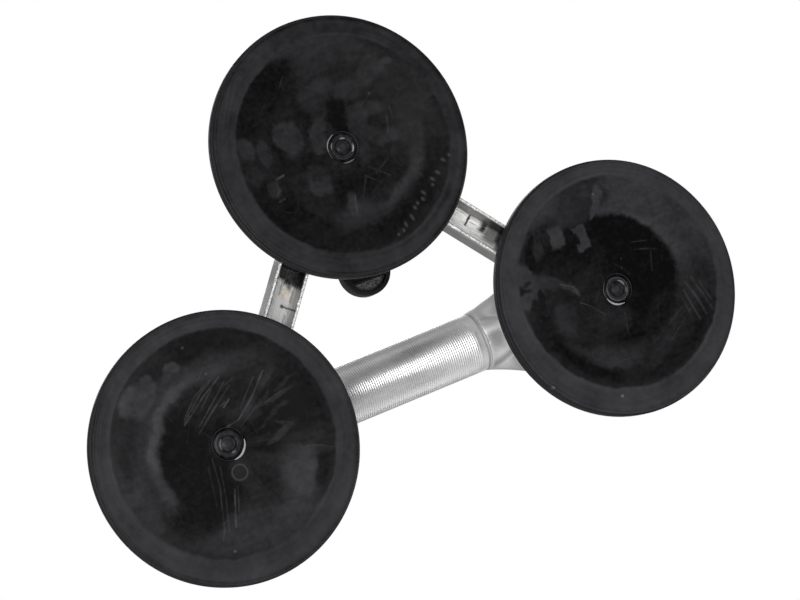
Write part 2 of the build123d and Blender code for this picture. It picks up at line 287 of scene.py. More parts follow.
class Shader:
    """A material on the Principled shader, with short calls for the nodes that feed it."""

    def __init__(self, name, **settings):
        self.material = bpy.data.materials.new(name)
        self.material.use_nodes = True
        self.tree = self.material.node_tree
        self.bsdf = self.tree.nodes["Principled BSDF"]
        for key, value in settings.items():
            self.bsdf.inputs[key.replace("_", " ")].default_value = value
        self.place = self.node("ShaderNodeTexCoord").outputs["Object"]

    def node(self, kind, **settings):
        made = self.tree.nodes.new(kind)
        for key, value in settings.items():
            setattr(made, key, value)
        return made

    def put(self, socket, value):
        """Links an output, or sets a constant."""
        if isinstance(value, bpy.types.NodeSocket):
            self.tree.links.new(value, socket)
        else:
            socket.default_value = value

    def set(self, name, value):
        self.put(self.bsdf.inputs[name], value)

    def stretch(self, scale):
        """Object coordinates, scaled for each axis."""
        made = self.node("ShaderNodeMapping")
        self.put(made.inputs["Vector"], self.place)
        made.inputs["Scale"].default_value = scale
        return made.outputs["Vector"]

    def noise(self, scale, detail=4.0, rough=0.55, where=None):
        made = self.node("ShaderNodeTexNoise")
        self.put(made.inputs["Vector"], where or self.place)
        made.inputs["Scale"].default_value = scale
        made.inputs["Detail"].default_value = detail
        made.inputs["Roughness"].default_value = rough
        return made.outputs["Fac"]

    def cells(self, scale):
        made = self.node("ShaderNodeTexVoronoi")
        self.put(made.inputs["Vector"], self.place)
        made.inputs["Scale"].default_value = scale
        return made.outputs["Distance"]

    def along(self, direction, start=(0, 0, 0)):
        """How far each point lies along a direction from a start, in millimetres."""
        made = self.node("ShaderNodeVectorMath", operation="DOT_PRODUCT")
        self.put(made.inputs[0], self.place)
        made.inputs[1].default_value = [part / MM for part in direction]
        offset = sum(a * b for a, b in zip(direction, start))
        return self.less(made.outputs["Value"], offset)

    def both(self, *masks):
        """Where all masks hold."""
        total = masks[0]
        for mask in masks[1:]:
            total = self.math("MULTIPLY", total, mask)
        return total

    def either(self, *masks):
        """Where any mask holds."""
        total = masks[0]
        for mask in masks[1:]:
            total = self.math("MAXIMUM", total, mask)
        return total

    def add(self, a, b):
        return self.math("ADD", a, b)

    def less(self, a, b):
        return self.math("SUBTRACT", a, b)

    def size(self, value):
        return self.math("ABSOLUTE", value)

    def vary(self, noise, low, high):
        """Spreads a noise's usual range over another range."""
        return self.span(noise, 0.3, 0.7, low, high)

    def patches(self, noise):
        """Turns a noise into patches with soft edges."""
        return self.span(noise, 0.35, 0.65, 0, 1)

    def between(self, value, low, high, soft):
        """1 where a value lies between two limits, with soft edges."""
        rise = self.span(value, low - soft, low + soft, 0, 1)
        return self.both(rise, self.span(value, high - soft, high + soft, 1, 0))

    def vector(self, x, y, z):
        made = self.node("ShaderNodeCombineXYZ")
        for socket, value in zip(made.inputs, (x, y, z)):
            self.put(socket, value)
        return made.outputs[0]

    def painted(self, name):
        return self.node("ShaderNodeAttribute", attribute_name=name).outputs["Fac"]

    def math(self, operation, a, b=0.0):
        made = self.node("ShaderNodeMath", operation=operation)
        for socket, value in zip(made.inputs, (a, b)):
            self.put(socket, value)
        return made.outputs[0]

    def span(self, value, low, high, to_low, to_high):
        """Maps a range of one value to another range, clamped."""
        made = self.node("ShaderNodeMapRange")
        for key, number in zip(("From Min", "From Max", "To Min", "To Max"), (low, high, to_low, to_high)):
            self.put(made.inputs[key], number)
        self.put(made.inputs["Value"], value)
        return made.outputs["Result"]

    def mix(self, share, a, b):
        """Blends two colours."""
        made = self.node("ShaderNodeMix", data_type="RGBA")
        self.put(made.inputs["Factor"], share)
        for socket, value in ((made.inputs[6], a), (made.inputs[7], b)):
            self.put(socket, value if isinstance(value, bpy.types.NodeSocket) else (*value, 1.0))
        return made.outputs[2]

    def bump(self, height, distance, strength, under=None):
        made = self.node("ShaderNodeBump")
        made.inputs["Distance"].default_value = distance
        made.inputs["Strength"].default_value = strength
        self.put(made.inputs["Height"], height)
        if under is not None:
            self.put(made.inputs["Normal"], under)
        return made.outputs["Normal"]

    def give(self, thing):
        """Puts the material on every slot of a piece."""
        if not thing.data.materials:
            thing.data.materials.append(self.material)
        for slot in thing.material_slots:
            slot.material = self.material


def rubber():
    """Near-black moulded rubber: a painted film of dust and handling marks, which also holds painted
    highlights and a painted reflection, over a darker, smoother skin, with scratches, painted glints and a
    fine grain."""
    s = Shader("pad_rubber", Specular_IOR_Level=0.09)
    # The painted film holds dust and handling marks, and painted highlights and a painted reflection as
    # well.
    dust_and_sheen = s.painted("dust_and_sheen")
    scratch_and_glint = s.painted("scratch_and_glint")
    gloss = s.painted("gloss")
    mottle = s.noise(420, 5, 0.65)
    grain = s.noise(5200, 3, 0.6)
    dust_and_sheen = s.add(dust_and_sheen, s.vary(mottle, -0.07, 0.07))
    dust_and_sheen = s.add(dust_and_sheen, s.vary(grain, -0.05, 0.05))
    dust_and_sheen = s.either(s.math("MINIMUM", dust_and_sheen, 1.0), 0.0)
    base = s.mix(dust_and_sheen, (0.0010, 0.0010, 0.0012), (0.052, 0.052, 0.0565))
    # Scratches and specks, and painted glints about the buttons, lighten the colour.
    s.set("Base Color", s.mix(scratch_and_glint, base, (0.40, 0.40, 0.415)))
    rough = s.add(s.span(dust_and_sheen, 0.0, 1.0, 0.36, 0.62), s.vary(grain, -0.04, 0.04))
    s.set("Roughness", s.less(rough, s.both(gloss, 0.2)))
    lines = s.noise(900, 3, 0.6)
    height = s.add(s.both(grain, 0.25), lines)
    s.set("Normal", s.bump(height, 0.00005, 0.35))
    return s


# Marks in an arm's channel: (low t, high t, low c, high c, softness, strength), where t runs along
# the arm from its front end and c across it, in millimetres.
# The black marks are partly soot and partly painted shade, where a channel runs in under a pad.
SOOT_AND_SHADE = {
    1: [
        (40, 61.8, -1.0, 9.0, 0.9, 1.0), (40, 60.0, -5.0, 1.0, 0.9, 1.0),
        (40, 58.5, -12.0, -4.0, 1.2, 0.7), (60, 63.4, 1.0, 3.4, 0.8, 0.8),
        (71.4, 72.1, 0.8, 9.0, 0.25, 0.95), (71.0, 72.4, 0.8, 2.0, 0.3, 0.9),
        (62.0, 67.5, -1.6, -0.9, 0.4, 0.6), (63.0, 69.0, 4.0, 5.0, 0.4, 0.5),
        (75.0, 90, 3.6, 4.2, 0.3, 0.6), (70.6, 72.0, -6.0, -3.4, 0.5, 0.6),
    ],
    -1: [
        (67.2, 68.2, -6.0, -0.2, 0.2, 1.0), (74.2, 77.8, -6.8, -1.2, 1.1, 1.0),
        (77.0, 96.0, -12.0, 1.2, 1.6, 0.8), (82.0, 97, -12.0, 0.5, 1.8, 1.0),
        (79.0, 84.0, -2.5, 0.5, 1.0, 0.4),
    ],
}
STAINS = {
    1: [
        (62.5, 68.5, -0.5, 4.2, 0.9, 0.7), (58, 61.5, -9.0, 9.0, 1.2, 0.4),
    ],
    -1: [
        (66.4, 69.6, -9.0, -5.2, 1.2, 0.6), (77.0, 79.5, -9.0, -3.0, 1.5, 0.9),
    ],
}


def channel_marks(s):
    """Stains, soot with painted shade, and streaks of rough metal inside the two arms' channels; painted
    light on their floors and lips, painted shade on their walls, and painted shade on the grip's side of the
    left arm.
    """
    warp = s.vary(s.noise(900, 4, 0.6), -0.25, 0.25)
    height = s.along(Z_AXIS)
    inside_height = s.between(height, ARM_BOTTOM + 0.9, ARM_ROOF + 1.2, 0.3)
    soot_and_shade, stain, streak, floor, wall_shade, lip, crack, shade = [[] for _ in range(8)]
    chips = s.span(s.noise(1400, 4, 0.7), 0.52, 0.58, 0, 1)
    for side in (1, -1):
        start, direction, normal = arm_axes(side)
        t = s.along(direction, start)
        c = s.along(normal, start)
        channel = s.both(s.between(c, -CHANNEL_HALF - 0.5, CHANNEL_HALF + 0.5, 0.1), inside_height)
        shown = s.between(t, SHOWN_START, SHOWN_END, 1)
        channel = s.both(channel, shown)
        flow = s.vector(s.both(t, 0.10), c, s.both(height, 0.6))
        streaks = s.noise(1.3, 4, 0.7, where=flow)
        ragged = s.vary(streaks, -1.4, 1.4)
        loose_c = s.add(c, warp)
        depth = s.less(ARM_ROOF, height)
        slant_t, slant_c = STAIN_SLANT[side]
        stain_t = s.add(t, s.both(depth, slant_t))
        stain_c = s.add(loose_c, s.both(depth, slant_c))
        for found, marks in ((soot_and_shade, SOOT_AND_SHADE[side]), (stain, STAINS[side])):
            for low_t, high_t, low_c, high_c, soft, strength in marks:
                edge = s.add(stain_t, s.both(ragged, RAGGED[side]) if soft > 0.5 else warp)
                along = s.between(edge, low_t, high_t, soft)
                area = s.both(along, s.between(stain_c, low_c, high_c, soft))
                found.append(s.both(area, channel, strength))
        wide = s.size(s.add(c, s.both(warp, 0.8)))
        low = s.both(s.span(height, ARM_BOTTOM + 1.4, ARM_BOTTOM + 1.6, 1, 0), shown)
        # Each lip is painted near white in the casting's colour: a painted highlight along the rim.
        lips = s.both(s.between(wide, CHANNEL_HALF + 0.35, ARM_HALF - 0.1, 0.15), low)
        lip.append(lips)
        crack.append(s.both(lips, chips))
        # Painted shade: on the left arm, everything beyond its outer face on the grip's side, above its
        # lower edge, is darkened.
        if side < 0:
            outside = s.span(c, ARM_HALF, ARM_HALF + 0.2, 0, 1)
            shade.append(s.both(outside, s.span(height, ARM_BOTTOM, ARM_BOTTOM + 0.4, 0, 1)))
        streak.append(s.both(streaks, channel, STREAKED[side]))
        # Painted light: the channel from its floor to the foot, and on the right arm most of its walls too,
        # is painted near white.
        foot = ARM_ROOF - LIT_FLOOR_DEPTH[side]
        floor.append(s.both(channel, s.span(height, foot, foot + 1, 0, 1)))
        # Painted shade: the left arm's channel walls are darkened, the right arm's are not.
        wall_shade.append(s.both(channel, s.span(height, ARM_ROOF - 2.2, ARM_ROOF - 1.2, WALL_SHADE[side], 0)))
    return [s.either(*masks) for masks in (soot_and_shade, stain, streak, floor, wall_shade, lip, crack, shade)]


def cast_aluminium():
    """Tumbled aluminium casting: fine pitted grain, faint flow streaks, and stained channels, with painted
    light on the channels' floors and lips and along each leg, and painted shade on the left arm's walls, on
    the grip's side of the left arm and in the legs' creases.
    """
    s = Shader("cast_aluminium", Specular_IOR_Level=0.2)
    soot_and_shade, stain, streak, floor, wall_shade, lip, crack, shade = channel_marks(s)
    cloud = s.noise(45, 4, 0.55)
    grain = s.noise(2600, 4, 0.6)
    pits = s.cells(1500)
    bright = s.mix(s.patches(cloud), (0.62, 0.62, 0.618), (0.70, 0.70, 0.697))
    bright = s.mix(s.span(grain, 0.35, 0.7, 0.0, 0.3), bright, (0.46, 0.46, 0.458))
    # Painted light: the channels' floors, and most of the right arm's walls, are made near white and less
    # metallic.
    bright = s.mix(s.both(floor, 0.95), bright, (0.95, 0.95, 0.94))
    # Painted shade on the left arm's channel walls.
    bright = s.mix(wall_shade, bright, (0.26, 0.26, 0.258))
    # Painted shade on the grip's side of the left arm.
    bright = s.mix(s.both(shade, 0.6), bright, (0.30, 0.30, 0.298))
    bright = s.mix(s.span(streak, 0.48, 0.64, 0, 0.7), bright, (0.24, 0.24, 0.238))
    # Painted highlight: the channel lips near white.
    bright = s.mix(lip, bright, (0.97, 0.97, 0.965))
    bright = s.mix(s.both(crack, 0.85), bright, (0.12, 0.12, 0.119))
    out = s.size(s.along(X_AXIS))
    leg = s.both(s.between(out, 40, 74, 4), s.span(s.along(Z_AXIS), 25, 35, 0, 1))
    across = s.along(Y_AXIS, (0, GRIP_Y, 0))
    # A near-white streak along each leg's round middle: a painted highlight.
    wear_and_highlight = s.both(leg, s.span(s.size(s.less(across, 3.4)), 0.4, 3.0, 1, 0))
    reach = s.less(out, GRIP_HALF)
    # The creases beside each leg's middle, darkened below as painted shade.
    front = s.add(across, s.both(reach, 0.26))
    back = s.less(across, s.both(reach, 0.28))
    front = s.span(s.size(s.less(front, 9.6)), 0.2, 1.4, 0.35, 0)
    back = s.span(s.size(s.add(back, 13.2)), 0.3, 2.6, 0.75, 0)
    crease_shade = s.both(leg, s.either(front, back), s.span(reach, 0.5, 1.5, 0, 1))
    bright = s.mix(leg, bright, (0.66, 0.66, 0.657))
    # Painted highlight along each leg's middle, then painted shade in its creases.
    bright = s.mix(s.both(wear_and_highlight, 0.9), bright, (0.98, 0.98, 0.975))
    bright = s.mix(crease_shade, bright, (0.25, 0.25, 0.249))
    plain = s.either(s.both(floor, 0.85), s.both(leg, 0.42), s.both(wear_and_highlight, 0.85), s.both(lip, 0.8))
    s.set("Metallic", s.span(plain, 0, 1, 1.0, 0.12))
    dirt = s.noise(700, 5, 0.65)
    warm = s.mix(s.span(dirt, 0.4, 0.6, 0, 1), (0.52, 0.44, 0.36), (0.74, 0.68, 0.60))
    # Black for the soot and the painted shade in the channels.
    black = s.mix(s.span(dirt, 0.35, 0.62, 0, 1), (0.004, 0.004, 0.004), (0.03, 0.03, 0.0295))
    black = s.mix(s.span(streak, 0.42, 0.56, 0, 0.6), black, (0.10, 0.10, 0.099))
    s.set("Base Color", s.mix(soot_and_shade, s.mix(stain, bright, warm), black))
    gloss = s.add(s.vary(cloud, 0.36, 0.46), s.vary(grain, -0.04, 0.08))
    gloss = s.add(gloss, s.both(s.either(soot_and_shade, stain), 0.15))
    gloss = s.add(gloss, s.both(s.between(out, 45.5, 50.5, 1), 0.16))
    smoother = s.either(lip, s.both(floor, 0.7))
    s.set("Roughness", s.less(gloss, s.both(smoother, 0.13)))
    fine = s.bump(s.add(grain, s.both(pits, 0.4)), 0.00006, 0.45)
    s.set("Normal", s.bump(streak, 0.0004, 0.9, under=fine))
    return s


def ribbed_aluminium():
    """Turned aluminium: fine rings left by the tool, with handling marks, and painted shade in the groove
    where each bead starts.
    """
    s = Shader("grip_aluminium", Metallic=1.0, Anisotropic=0.35)
    cloud = s.noise(60, 4, 0.55)
    turned = s.noise(900, 3, 0.6, where=s.stretch((6, 0.25, 0.25)))
    out = s.size(s.along(X_AXIS))
    plain = s.span(out, RIBBED_HALF - 2, RIBBED_HALF + 1, 0, 0.28)
    tone = s.mix(s.patches(cloud), (0.80, 0.80, 0.80), (0.91, 0.91, 0.91))
    tone = s.mix(s.span(turned, 0.45, 0.7, 0, 0.15), tone, (0.62, 0.62, 0.62))
    # Painted shade in the small groove where each bead starts.
    groove_shade = s.between(out, BEAD_START - 0.4, BEAD_START + 0.5, 0.2)
    s.set("Base Color", s.mix(s.both(groove_shade, 0.7), tone, (0.30, 0.30, 0.298)))
    gloss = s.add(s.vary(turned, 0.26, 0.31), s.vary(cloud, 0, 0.03))
    dull = s.span(s.along(X_AXIS), -RIBBED_HALF, -0.3 * RIBBED_HALF, 0.2, 0)
    s.set("Roughness", s.add(gloss, s.either(plain, dull)))
    s.set("Normal", s.bump(turned, 0.00003, 0.12))
    return s


def moulded_plastic(name, dark, light, low, high, dusty=False):
    """Moulded plastic with a fine spark-eroded grain and faint flow marks, and dust where painted."""
    s = Shader(name, Specular_IOR_Level=0.2)
    grain = s.noise(3200, 3, 0.6)
    cloud = s.noise(90, 4, 0.55)
    tone = s.mix(s.patches(cloud), dark, light)
    if dusty:
        specks = s.span(s.noise(1100, 4, 0.65), 0.40, 0.62, 0.12, 1)
        tone = s.mix(s.both(s.painted("dust"), specks), tone, (0.14, 0.14, 0.138))
    s.set("Base Color", tone)
    s.set("Roughness", s.add(s.vary(cloud, low, high), s.vary(grain, -0.03, 0.03)))
    s.set("Normal", s.bump(grain, 0.00005, 0.3))
    return s


def steel(name, tone, other, low, high):
    """Plated or ground steel with fine turning lines and small stains."""
    s = Shader(name, Metallic=1.0)
    stain = s.noise(300, 4, 0.6)
    line = s.noise(700, 3, 0.6, where=s.stretch((1, 1, 9)))
    s.set("Base Color", s.mix(s.patches(stain), tone, other))
    s.set("Roughness", s.add(s.vary(stain, low, high), s.vary(line, -0.04, 0.04)))
    s.set("Normal", s.bump(line, 0.00003, 0.3))
    return s


# ---------------------------------------------------------------- rubber pads

SEAL_INNER = 50.0
SEAL_OUTER = 58.6
RING = 5.2
MOAT = 6.4
MOAT_LIP = 7.0
HUB = 22.0
PAD_TOP = 7.0
HUB_HEIGHT = 2.0
DISH_DEPTH = 1.7
SEGMENTS = 512
BUTTON_SHIFT = {"right": (-0.9, 1.35), "left": (0.9, -0.75), "front": (-1.2, -0.6)}
DISH_SHIFT = {"right": (0.5, 2.4), "left": (-0.6, 2.3), "front": (-1.0, 0.0)}


def bezier(points, steps):
    """A cubic curve as points."""
    t = np.linspace(0, 1, steps)[:, None]
    p = [np.array(q, float) for q in points]
    return (1 - t) ** 3 * p[0] + 3 * (1 - t) ** 2 * t * p[1] + 3 * (1 - t) * t ** 2 * p[2] + t ** 3 * p[3]


def pad_outline(lift):
    """Half section of a pad from the button's centre, round the rim, to the hub's centre."""
    dish = DISH_DEPTH + lift
    button = rounded(
        [
            (0, dish + 0.5),
            (1.6, dish + 0.55),
            (2.6, dish + 0.9),
            (3.3, dish + 0.85),
            (3.7, dish + 0.1),
            (4.1, dish - 0.25),
            (RING, dish - 0.3),
            (RING + 0.45, dish + 0.05),
            (RING + 0.6, dish + 0.6),
            (MOAT, dish + 0.7),
            (MOAT + 0.35, dish + 0.1),
            (MOAT_LIP, dish - 0.12),
            (MOAT_LIP + 0.7, dish - 0.05),
            (MOAT_LIP + 1.8, dish),
        ],
        0.35,
        5,
    )
    under = bezier([(MOAT_LIP + 1.8, dish), (30, dish), (42, 0), (SEAL_INNER, 0)], 60)
    rim = rounded(
        [
            (SEAL_INNER, 0.0),
            (SEAL_OUTER - 0.2, 0.0),
            (SEAL_OUTER + 0.4, 0.5),
            (SEAL_OUTER + 0.4, 1.5),
            (SEAL_OUTER - 0.1, 1.7),
            (SEAL_OUTER - 0.1, 2.1),
            (PAD_RADIUS, 2.3),
            (PAD_RADIUS, PAD_TOP - 0.6),
            (PAD_RADIUS - 0.6, PAD_TOP),
            (50, PAD_TOP),
        ],
        0.9,
    )
    under = np.vstack([button, under[1:], rim[1:]])
    split = np.flatnonzero(under[:, 1] >= PAD_TOP - 1)
    split = split[split > len(button)][0]
    over = bezier([(50, PAD_TOP), (38, PAD_TOP), (34, PAD_TOP + lift), (HUB + 2, PAD_TOP + lift)], 14)
    top = PAD_TOP + HUB_HEIGHT + lift
    hub = rounded([(HUB + 2, PAD_TOP + lift), (HUB, top), (10, top), (0, top)], 0.4)
    fine = divided(under[: split + 1], 0.42)
    middle = divided(under[split:], 1.2)
    coarse = divided(np.vstack([over[1:], hub[1:]]), 3.0)
    return np.vstack([fine, middle[1:], coarse])


def blob(xy, x, y, half_x, half_y, turn, soft):
    """1 inside an ellipse, fading over a share of its size."""
    c, s = math.cos(math.radians(turn)), math.sin(math.radians(turn))
    dx, dy = xy[:, 0] - x, xy[:, 1] - y
    reach = np.hypot((dx * c + dy * s) / half_x, (dy * c - dx * s) / half_y)
    return 1 - smooth(1 - soft, 1 + soft, reach)


def crescent(xy, x, y, radius, start, end, width):
    """1 on an arc about a point, widest at its middle and pointed at its ends."""
    dx, dy = xy[:, 0] - x, xy[:, 1] - y
    share = ((np.degrees(np.arctan2(dy, dx)) - start) % 360) / (end - start)
    half = width * np.sin(math.pi * np.clip(share, 0, 1)) ** 0.7 + 1e-3
    return (1 - smooth(0.3, 1.0, np.abs(np.hypot(dx, dy) - radius) / half)) * (share < 1)


def arc(xy, x, y, radius, start, end, width):
    """1 on an arc about a point, between two directions in degrees."""
    dx, dy = xy[:, 0] - x, xy[:, 1] - y
    turn = (np.degrees(np.arctan2(dy, dx)) - start) % 360
    near = 1 - smooth(width * 0.2, width, np.abs(np.hypot(dx, dy) - radius))
    inside = smooth(0, 14, turn) * (1 - smooth(end - start - 14, end - start, turn))
    return near * inside


def slab(xy, x, y, half_x, half_y, soft):
    """1 inside a rectangle with soft edges."""
    out = np.maximum(np.abs(xy[:, 0] - x) - half_x, np.abs(xy[:, 1] - y) - half_y)
    return 1 - smooth(-soft, soft, out)


def stroke(xy, points, width):
    """1 on a line through listed points, fading to 0 beside it."""
    best = np.full(len(xy), 1e9)
    for start, end in zip(points, points[1:]):
        a, b = np.array(start, float), np.array(end, float)
        t = np.clip((xy - a) @ (b - a) / ((b - a) @ (b - a)), 0, 1)
        best = np.minimum(best, np.linalg.norm(xy - a - t[:, None] * (b - a), axis=1))
    return 1 - smooth(width * 0.25, width, best)


# Marks on each pad, later ones over earlier ones, in millimetres from the pad's centre:
# (x, y, half_x, half_y, turn, softness, film) for a blob, ("arc", x, y, radius, start, end, width, film)
# or ("slab", x, y, half_x, half_y, softness, film). Film runs from 0, bare, to 1, dusty; the bright arcs of
# radius 32 to 38 are painted highlights.
MARKS = {
    "right": [
        (0, 0, 50, 50, 0, 0.1, 0.17), (-8, 45, 30, 7, 4, 0.3, 0.05), (18, 44, 14, 5, -22, 0.4, 0.16),
        (-22, 34, 20, 7, 35, 0.5, 0.16), (-40, 12, 10, 26, 0, 0.4, 0.1),
        (38, -24, 16, 22, -30, 0.4, 0.16), (22, -40, 18, 8, 30, 0.5, 0.18), (42, 0, 8, 22, 0, 0.35, 0.36),
        (41, -3, 4, 8, 10, 0.4, 0.5), (36, 20, 4, 9, 20, 0.4, 0.24), (44, 14, 3, 10, 0, 0.5, 0.2),
        (-2, -38, 24, 9, 5, 0.5, 0.36), (-16, -36, 8, 4, 20, 0.5, 0.46), (10, -33, 6, 4, 0, 0.6, 0.4),
        (-26, -20, 10, 14, 20, 0.45, 0.6), (-23, -12, 5, 5, 0, 0.5, 0.44), (-34, -9, 9, 3, 25, 0.5, 0.26),
        (-37, -24, 3.4, 8, 28, 0.35, 0.06), (-42, -14, 5, 4, 0, 0.5, 0.16),
        (-12, -18, 7, 10, 20, 0.6, 0.13), (-26, 6, 15, 14, 0, 0.5, 0.03),
        (-29, 13, 7, 1.3, -8, 0.5, 0.34), (-22, 14, 5, 1.1, -38, 0.5, 0.32),
        (-27, 7, 6, 1.2, -14, 0.5, 0.3), (-21, 5, 5, 1.0, -25, 0.5, 0.28),
        (-24, -2, 7, 1.5, -22, 0.5, 0.34), (-28, 1, 4, 1.0, 35, 0.5, 0.28), (-13, 11, 6, 4, 0, 0.6, 0.3),
        (-33, 17, 5, 1.0, -15, 0.5, 0.26), (-26, 21, 5, 1.2, -30, 0.5, 0.28),
        (14, -2, 20, 27, 10, 0.2, 0.0), (26, -14, 9, 14, 20, 0.35, 0.04), (0, 21, 13, 8, -28, 0.4, 0.12),
        (-6, -3, 5, 12, 0, 0.6, 0.12), (-2, -12, 5, 6, 0, 0.5, 0.2), (-2, 34, 22, 4.5, 4, 0.5, 0.3),
        (-14, 45, 26, 6, 12, 0.35, 0.05), ("arc", -2, -1, 37.4, -34, 112, 7.5, 0.34),
        ("arc", -2, -1, 35.0, -28, 112, 4.0, 0.52), ("arc", -2, -1, 34.8, 0, 84, 2.4, 0.8),
        (31, 33, 7.5, 6.0, -40, 0.25, 0.68), (23, 37, 4, 4.6, -20, 0.22, 0.58),
        (28, 29, 7, 3, -20, 0.4, 0.6), (10.5, 40.5, 4.2, 2.0, 8, 0.25, 0.6),
        (14, 37.5, 2.4, 1.8, -30, 0.4, 0.44), (34, 41, 3, 2, -40, 0.3, 0.2),
    ],
    "left": [
        (0, 0, 50, 50, 0, 0.1, 0.2), (-30, 26, 27, 30, -30, 0.22, 0.58), (-41, 4, 10, 26, 0, 0.4, 0.5),
        (-40, -14, 8, 14, 15, 0.5, 0.24), (-43, -28, 5, 10, 30, 0.5, 0.1),
        (-18, -36, 24, 10, -20, 0.5, 0.16), (-14, -28, 16, 4, -35, 0.5, 0.26),
        ("arc", 0, 0, 32.5, 96, 172, 5.0, 0.7), ("arc", 0, 0, 33.5, 106, 150, 2.6, 0.95),
        (-33, 14, 5, 10, 15, 0.5, 0.6), (4, 43, 15, 9, -6, 0.16, 0.26), (-3, 46, 3, 4, 0, 0.5, 0.36),
        (13, 40, 9, 5, -30, 0.3, 0.36), (22, 45, 10, 4.5, -25, 0.35, 0.54), (-2, 4, 29, 30, 0, 0.07, 0.0),
        (16, 20, 16, 14, 0, 0.3, 0.05), (25, -6, 23, 22, 0, 0.45, 0.16), (31, -5, 5, 8, 0, 0.5, 0.34),
        (8, -13, 10, 5, 10, 0.6, 0.22), (-14, -18, 12, 6, -30, 0.5, 0.1),
        (20, -29, 17, 5.5, 16, 0.45, 0.44), (33, -22, 6, 4, 40, 0.5, 0.36),
        ("arc", 0, 1, 42.5, 282, 352, 6.0, 0.03), ("arc", 0, 1, 43.5, 200, 285, 5.0, 0.1),
        (43, -6, 4.5, 8, 10, 0.4, 0.12), (46, 16, 10, 11, -10, 0.18, 0.62), (39, 8, 1.6, 5, 15, 0.3, 0.1),
        (43, 6, 2.2, 3, 30, 0.4, 0.16), (50, 14, 8, 1.5, 10, 0.35, 0.14),
        (44, 15.5, 4, 1.0, -15, 0.35, 0.22), (33, 14, 6, 3, 35, 0.4, 0.4),
        (33, 28, 5.6, 9.5, 15, 0.12, 0.05), (31, 30, 3.0, 6.0, 10, 0.35, 0.3),
        (27, 36, 5, 2, -30, 0.35, 0.16), (28, 12, 7, 1.6, 42, 0.4, 0.42),
        (22, 7, 1.3, 3.4, -20, 0.4, 0.44), (-6.5, 42, 1.8, 6.5, 14, 0.35, 0.68),
        (-2.5, 35.5, 4.0, 1.4, -35, 0.35, 0.64), ("slab", 20, 31.5, 2.5, 5.0, 0.7, 0.6),
        ("slab", 8.4, 27, 2.2, 5.6, 0.6, 0.56), ("slab", 8.8, 31.5, 3.2, 1.6, 0.5, 0.58),
        ("slab", 9.4, 23.0, 3.0, 1.5, 0.5, 0.58),
    ],
    "front": [
        (0, 0, 50, 50, 0, 0.1, 0.15), (-2, 45, 24, 11, 0, 0.3, 0.34), (-20, 37, 12, 6, 30, 0.4, 0.26),
        (-4, 38, 6, 4, 0, 0.4, 0.24), (24, 34, 20, 10, -20, 0.4, 0.08), (24, 38, 15, 5, -20, 0.4, 0.03),
        (38, 26, 7, 14, 25, 0.4, 0.06), (36, -24, 10, 20, -28, 0.4, 0.06), (18, -36, 18, 8, 20, 0.4, 0.1),
        (30, 0, 16, 7, 0, 0.5, 0.16), (-44, 16, 5, 14, 0, 0.4, 0.28), (-38, 18, 5, 12, 0, 0.5, 0.16),
        (-40, -12, 7, 12, 10, 0.4, 0.12), (-22, 22, 16, 12, 20, 0.5, 0.15),
        (-16, 4, 16, 12, 0, 0.5, 0.12), ("arc", 0, 0, 43, 186, 282, 6.5, 0.04),
        (-12, -17, 14, 8.5, 6, 0.25, 0.08), (6, -22, 5, 10, 12, 0.35, 0.05),
        (-5, 13, 5.5, 8.5, 4, 0.2, 0.0), (12, 20, 4, 10, 0, 0.4, 0.08), (27, 8, 3, 12, 0, 0.5, 0.08),
        (15, -2, 12, 3, 0, 0.5, 0.08), ("arc", -2, 1, 34, 176, 285, 4.6, 0.36),
        ("arc", -2, 1, 33.6, 205, 262, 2.4, 0.48), (4, -32, 10, 6, 0, 0.5, 0.36),
        (5, -28, 2.5, 7, 10, 0.5, 0.46), (-2, 28, 6, 3.6, 10, 0.3, 0.32),
        (-27, 29, 6, 4.5, 10, 0.35, 0.32), (-22, 26, 4, 5, 30, 0.35, 0.32),
        (-13, 22, 6, 4.5, 20, 0.35, 0.3), (-34, 29, 3.0, 1.6, -20, 0.4, 0.46),
        (-18, 11, 9, 3.8, 5, 0.3, 0.33), (-12, 7, 4.5, 6, 0, 0.4, 0.28),
        (-24, -3, 6.5, 3.4, -10, 0.35, 0.34), (-17, 0, 5, 3, 20, 0.4, 0.26),
        (-10, -6, 3, 6, 25, 0.4, 0.24), (-33, -4, 4, 8, 0, 0.5, 0.24), (6, 24, 4.5, 5, 0, 0.35, 0.27),
        (22, 11.5, 6.0, 8.4, -8, 0.14, 0.36), (9, 7, 4.2, 7.6, 18, 0.16, 0.34),
        (5, 13, 3.0, 3.0, 0, 0.3, 0.36), (15.5, -13.5, 6.0, 5.2, 0, 0.16, 0.38),
        (15, -8, 5.5, 3.0, 0, 0.4, 0.28), (35, 8, 3.6, 6.0, 0, 0.2, 0.34),
        (43, 12, 3.8, 5.4, 0, 0.25, 0.38), (44, 0, 5, 4, 0, 0.4, 0.26), (37, -9, 3, 3.5, 0, 0.4, 0.34),
    ],
}
# Finger marks: x, y, half_x, half_y, and the direction across their ridges in degrees.
PRINTS = {
    "right": [
        (-16, -28, 8, 6, 40), (40, -6, 5, 8, 0),
    ],
    "left": [
        (18, -28, 12, 5, 10), (44, 17, 8, 8, 60), (40, -5, 7, 10, 0),
    ],
    "front": [
        (22, 11.5, 6, 8.4, 0), (9, 7, 4.5, 7.6, 20), (15.5, -13, 6, 5.2, 30), (-18, 11, 9, 5, 0),
        (35, 8, 3.6, 6, 0), (43, 12, 4, 5.4, 10), (-24, -3, 7, 4, 0), (-13, 22, 6, 5, 50),
    ],
}
BAND_FILM = {"right": 0.51, "left": 0.64, "front": 0.35}
